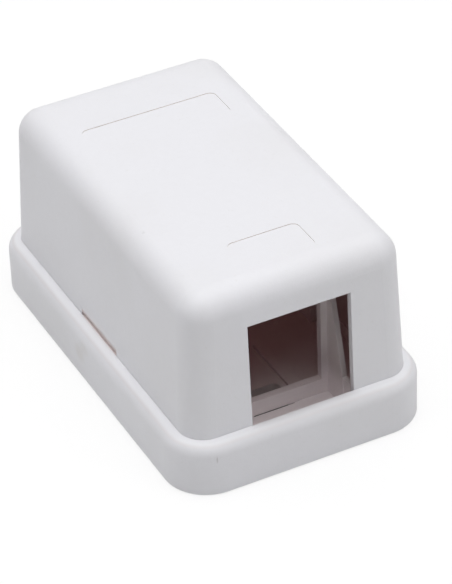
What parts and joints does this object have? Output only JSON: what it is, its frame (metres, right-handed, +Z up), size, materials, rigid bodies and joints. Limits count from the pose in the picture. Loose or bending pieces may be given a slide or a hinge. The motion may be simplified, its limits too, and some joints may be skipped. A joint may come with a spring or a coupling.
{
  "type": "surface mount jack box",
  "caption": "Small white rectangular surface mount box for a keystone jack: a rounded clip-on cover with a square front port over a shallow base.",
  "frame": {"origin": "centre of the footprint, on the plane the release liners stand on, which is the wall or desk the box mounts to", "axes": "+Z up out of the mounting surface, +Y along the box from the port to the rear wall, +X to the right seen from the port"},
  "size_m": [0.037, 0.06, 0.029],
  "materials": {
    "base_plastic": "fine-textured white ABS",
    "cover_plastic": "fine-textured white ABS",
    "foam": "closed-cell foam tape",
    "liner_paper": "siliconed paper"
  },
  "bodies": {
    "base": {"base": "base_plastic", "foam_strip_left": "foam", "foam_strip_right": "foam", "release_liner_left": "liner_paper", "release_liner_right": "liner_paper"},
    "cover": {"cover": "cover_plastic"}
  },
  "joints": [
    {"name": "cover_lift", "type": "slide", "parent": "base", "child": "cover", "axis": [0, 0, 1], "range_m": [0, 0.025]}
  ]
}
